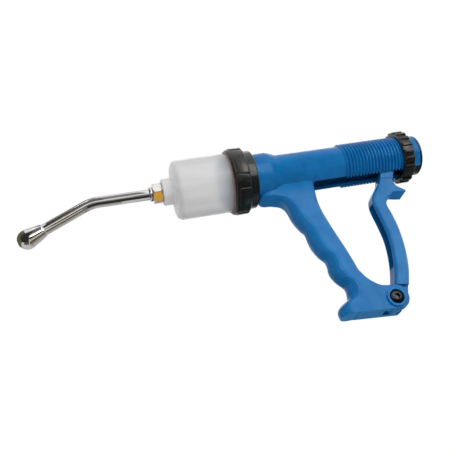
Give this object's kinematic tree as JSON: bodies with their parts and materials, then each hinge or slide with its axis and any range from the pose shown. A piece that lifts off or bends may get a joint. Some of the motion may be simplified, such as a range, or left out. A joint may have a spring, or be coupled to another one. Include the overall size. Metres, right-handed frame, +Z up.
{
  "type": "livestock drencher",
  "caption": "Hand-held pistol-grip livestock drencher: squeezing the rear lever drives a piston in a clear barrel and pushes a measured dose out of a bent nozzle.",
  "frame": {"origin": "on the barrel's axis, on the hose tail, 1 mm behind its shoulder", "axes": "+X along the barrel's axis towards the rear, the nozzle towards -X; +Z up, the grip hanging towards -Z; +Y to the side of the pivot's lock nut"},
  "size_m": [0.325, 0.0528, 0.1548],
  "materials": {
    "blue_nylon": "satin moulded nylon",
    "clear_barrel": "clear moulded plastic, slightly cloudy",
    "black_nylon": "fine-grained moulded nylon",
    "red_rubber": "smooth",
    "white_acetal": "turned",
    "black_steel": "black oxide",
    "zinc_steel": "zinc plated",
    "bright_plate": "bright plated brass",
    "spring_steel": "drawn wire",
    "brass": "turned",
    "seal_rubber": "smooth",
    "valve_rubber": "smooth"
  },
  "bodies": {
    "gun": {"gun_body": "blue_nylon", "barrel": "clear_barrel", "barrel_ring": "black_nylon", "barrel_seal": "red_rubber", "rod_guide": "white_acetal", "rear_cap": "black_nylon", "pivot_screw": "black_steel", "pivot_nut": "zinc_steel", "nozzle_adaptor": "bright_plate", "nozzle_washer": "zinc_steel", "nozzle_collar": "bright_plate", "nozzle_tube": "bright_plate", "nozzle_tip": "bright_plate", "outlet_spring": "spring_steel", "return_spring": "spring_steel"},
    "lever": {"lever": "blue_nylon", "lever_bush": "brass"},
    "piston": {"piston_head": "white_acetal", "piston_seal": "seal_rubber", "valve_cage": "white_acetal", "inlet_spring": "spring_steel", "piston_rod": "zinc_steel", "drive_spool": "black_nylon", "rod_clip": "spring_steel", "hose_tail": "brass"},
    "dose_nut": {"dose_nut": "black_nylon"},
    "inlet_valve": {"inlet_valve": "valve_rubber"},
    "outlet_valve": {"outlet_valve": "valve_rubber"}
  },
  "joints": [
    {"name": "lever_squeeze", "type": "hinge", "parent": "gun", "child": "lever", "pos_m": [-0.0456, 0, -0.12], "axis": [0, -1, 0], "range_deg": [0, 16.18], "stiffness_Nm_per_rad": 4, "springref_deg": -8.59},
    {"name": "piston_slide", "type": "slide", "parent": "gun", "child": "piston", "axis": [-1, 0, 0], "range_m": [0, 0.034], "deforming": ["return_spring"]},
    {"name": "dose_nut_turn", "type": "hinge", "parent": "gun", "child": "dose_nut", "pos_m": [0.004, 0, 0], "axis": [1, 0, 0], "range_deg": [0, 900]},
    {"name": "inlet_valve_lift", "type": "slide", "parent": "piston", "child": "inlet_valve", "axis": [-1, 0, 0], "range_m": [0, 0.0012], "stiffness_N_per_m": 60, "springref_m": -0.002, "deforming": ["inlet_spring"]},
    {"name": "outlet_valve_lift", "type": "slide", "parent": "gun", "child": "outlet_valve", "axis": [-1, 0, 0], "range_m": [0, 0.0012], "stiffness_N_per_m": 60, "springref_m": -0.002, "deforming": ["outlet_spring"]}
  ],
  "couplings": [
    {"joint": "piston_slide", "follows": "lever_squeeze", "m_per_rad": 0.12037}
  ]
}
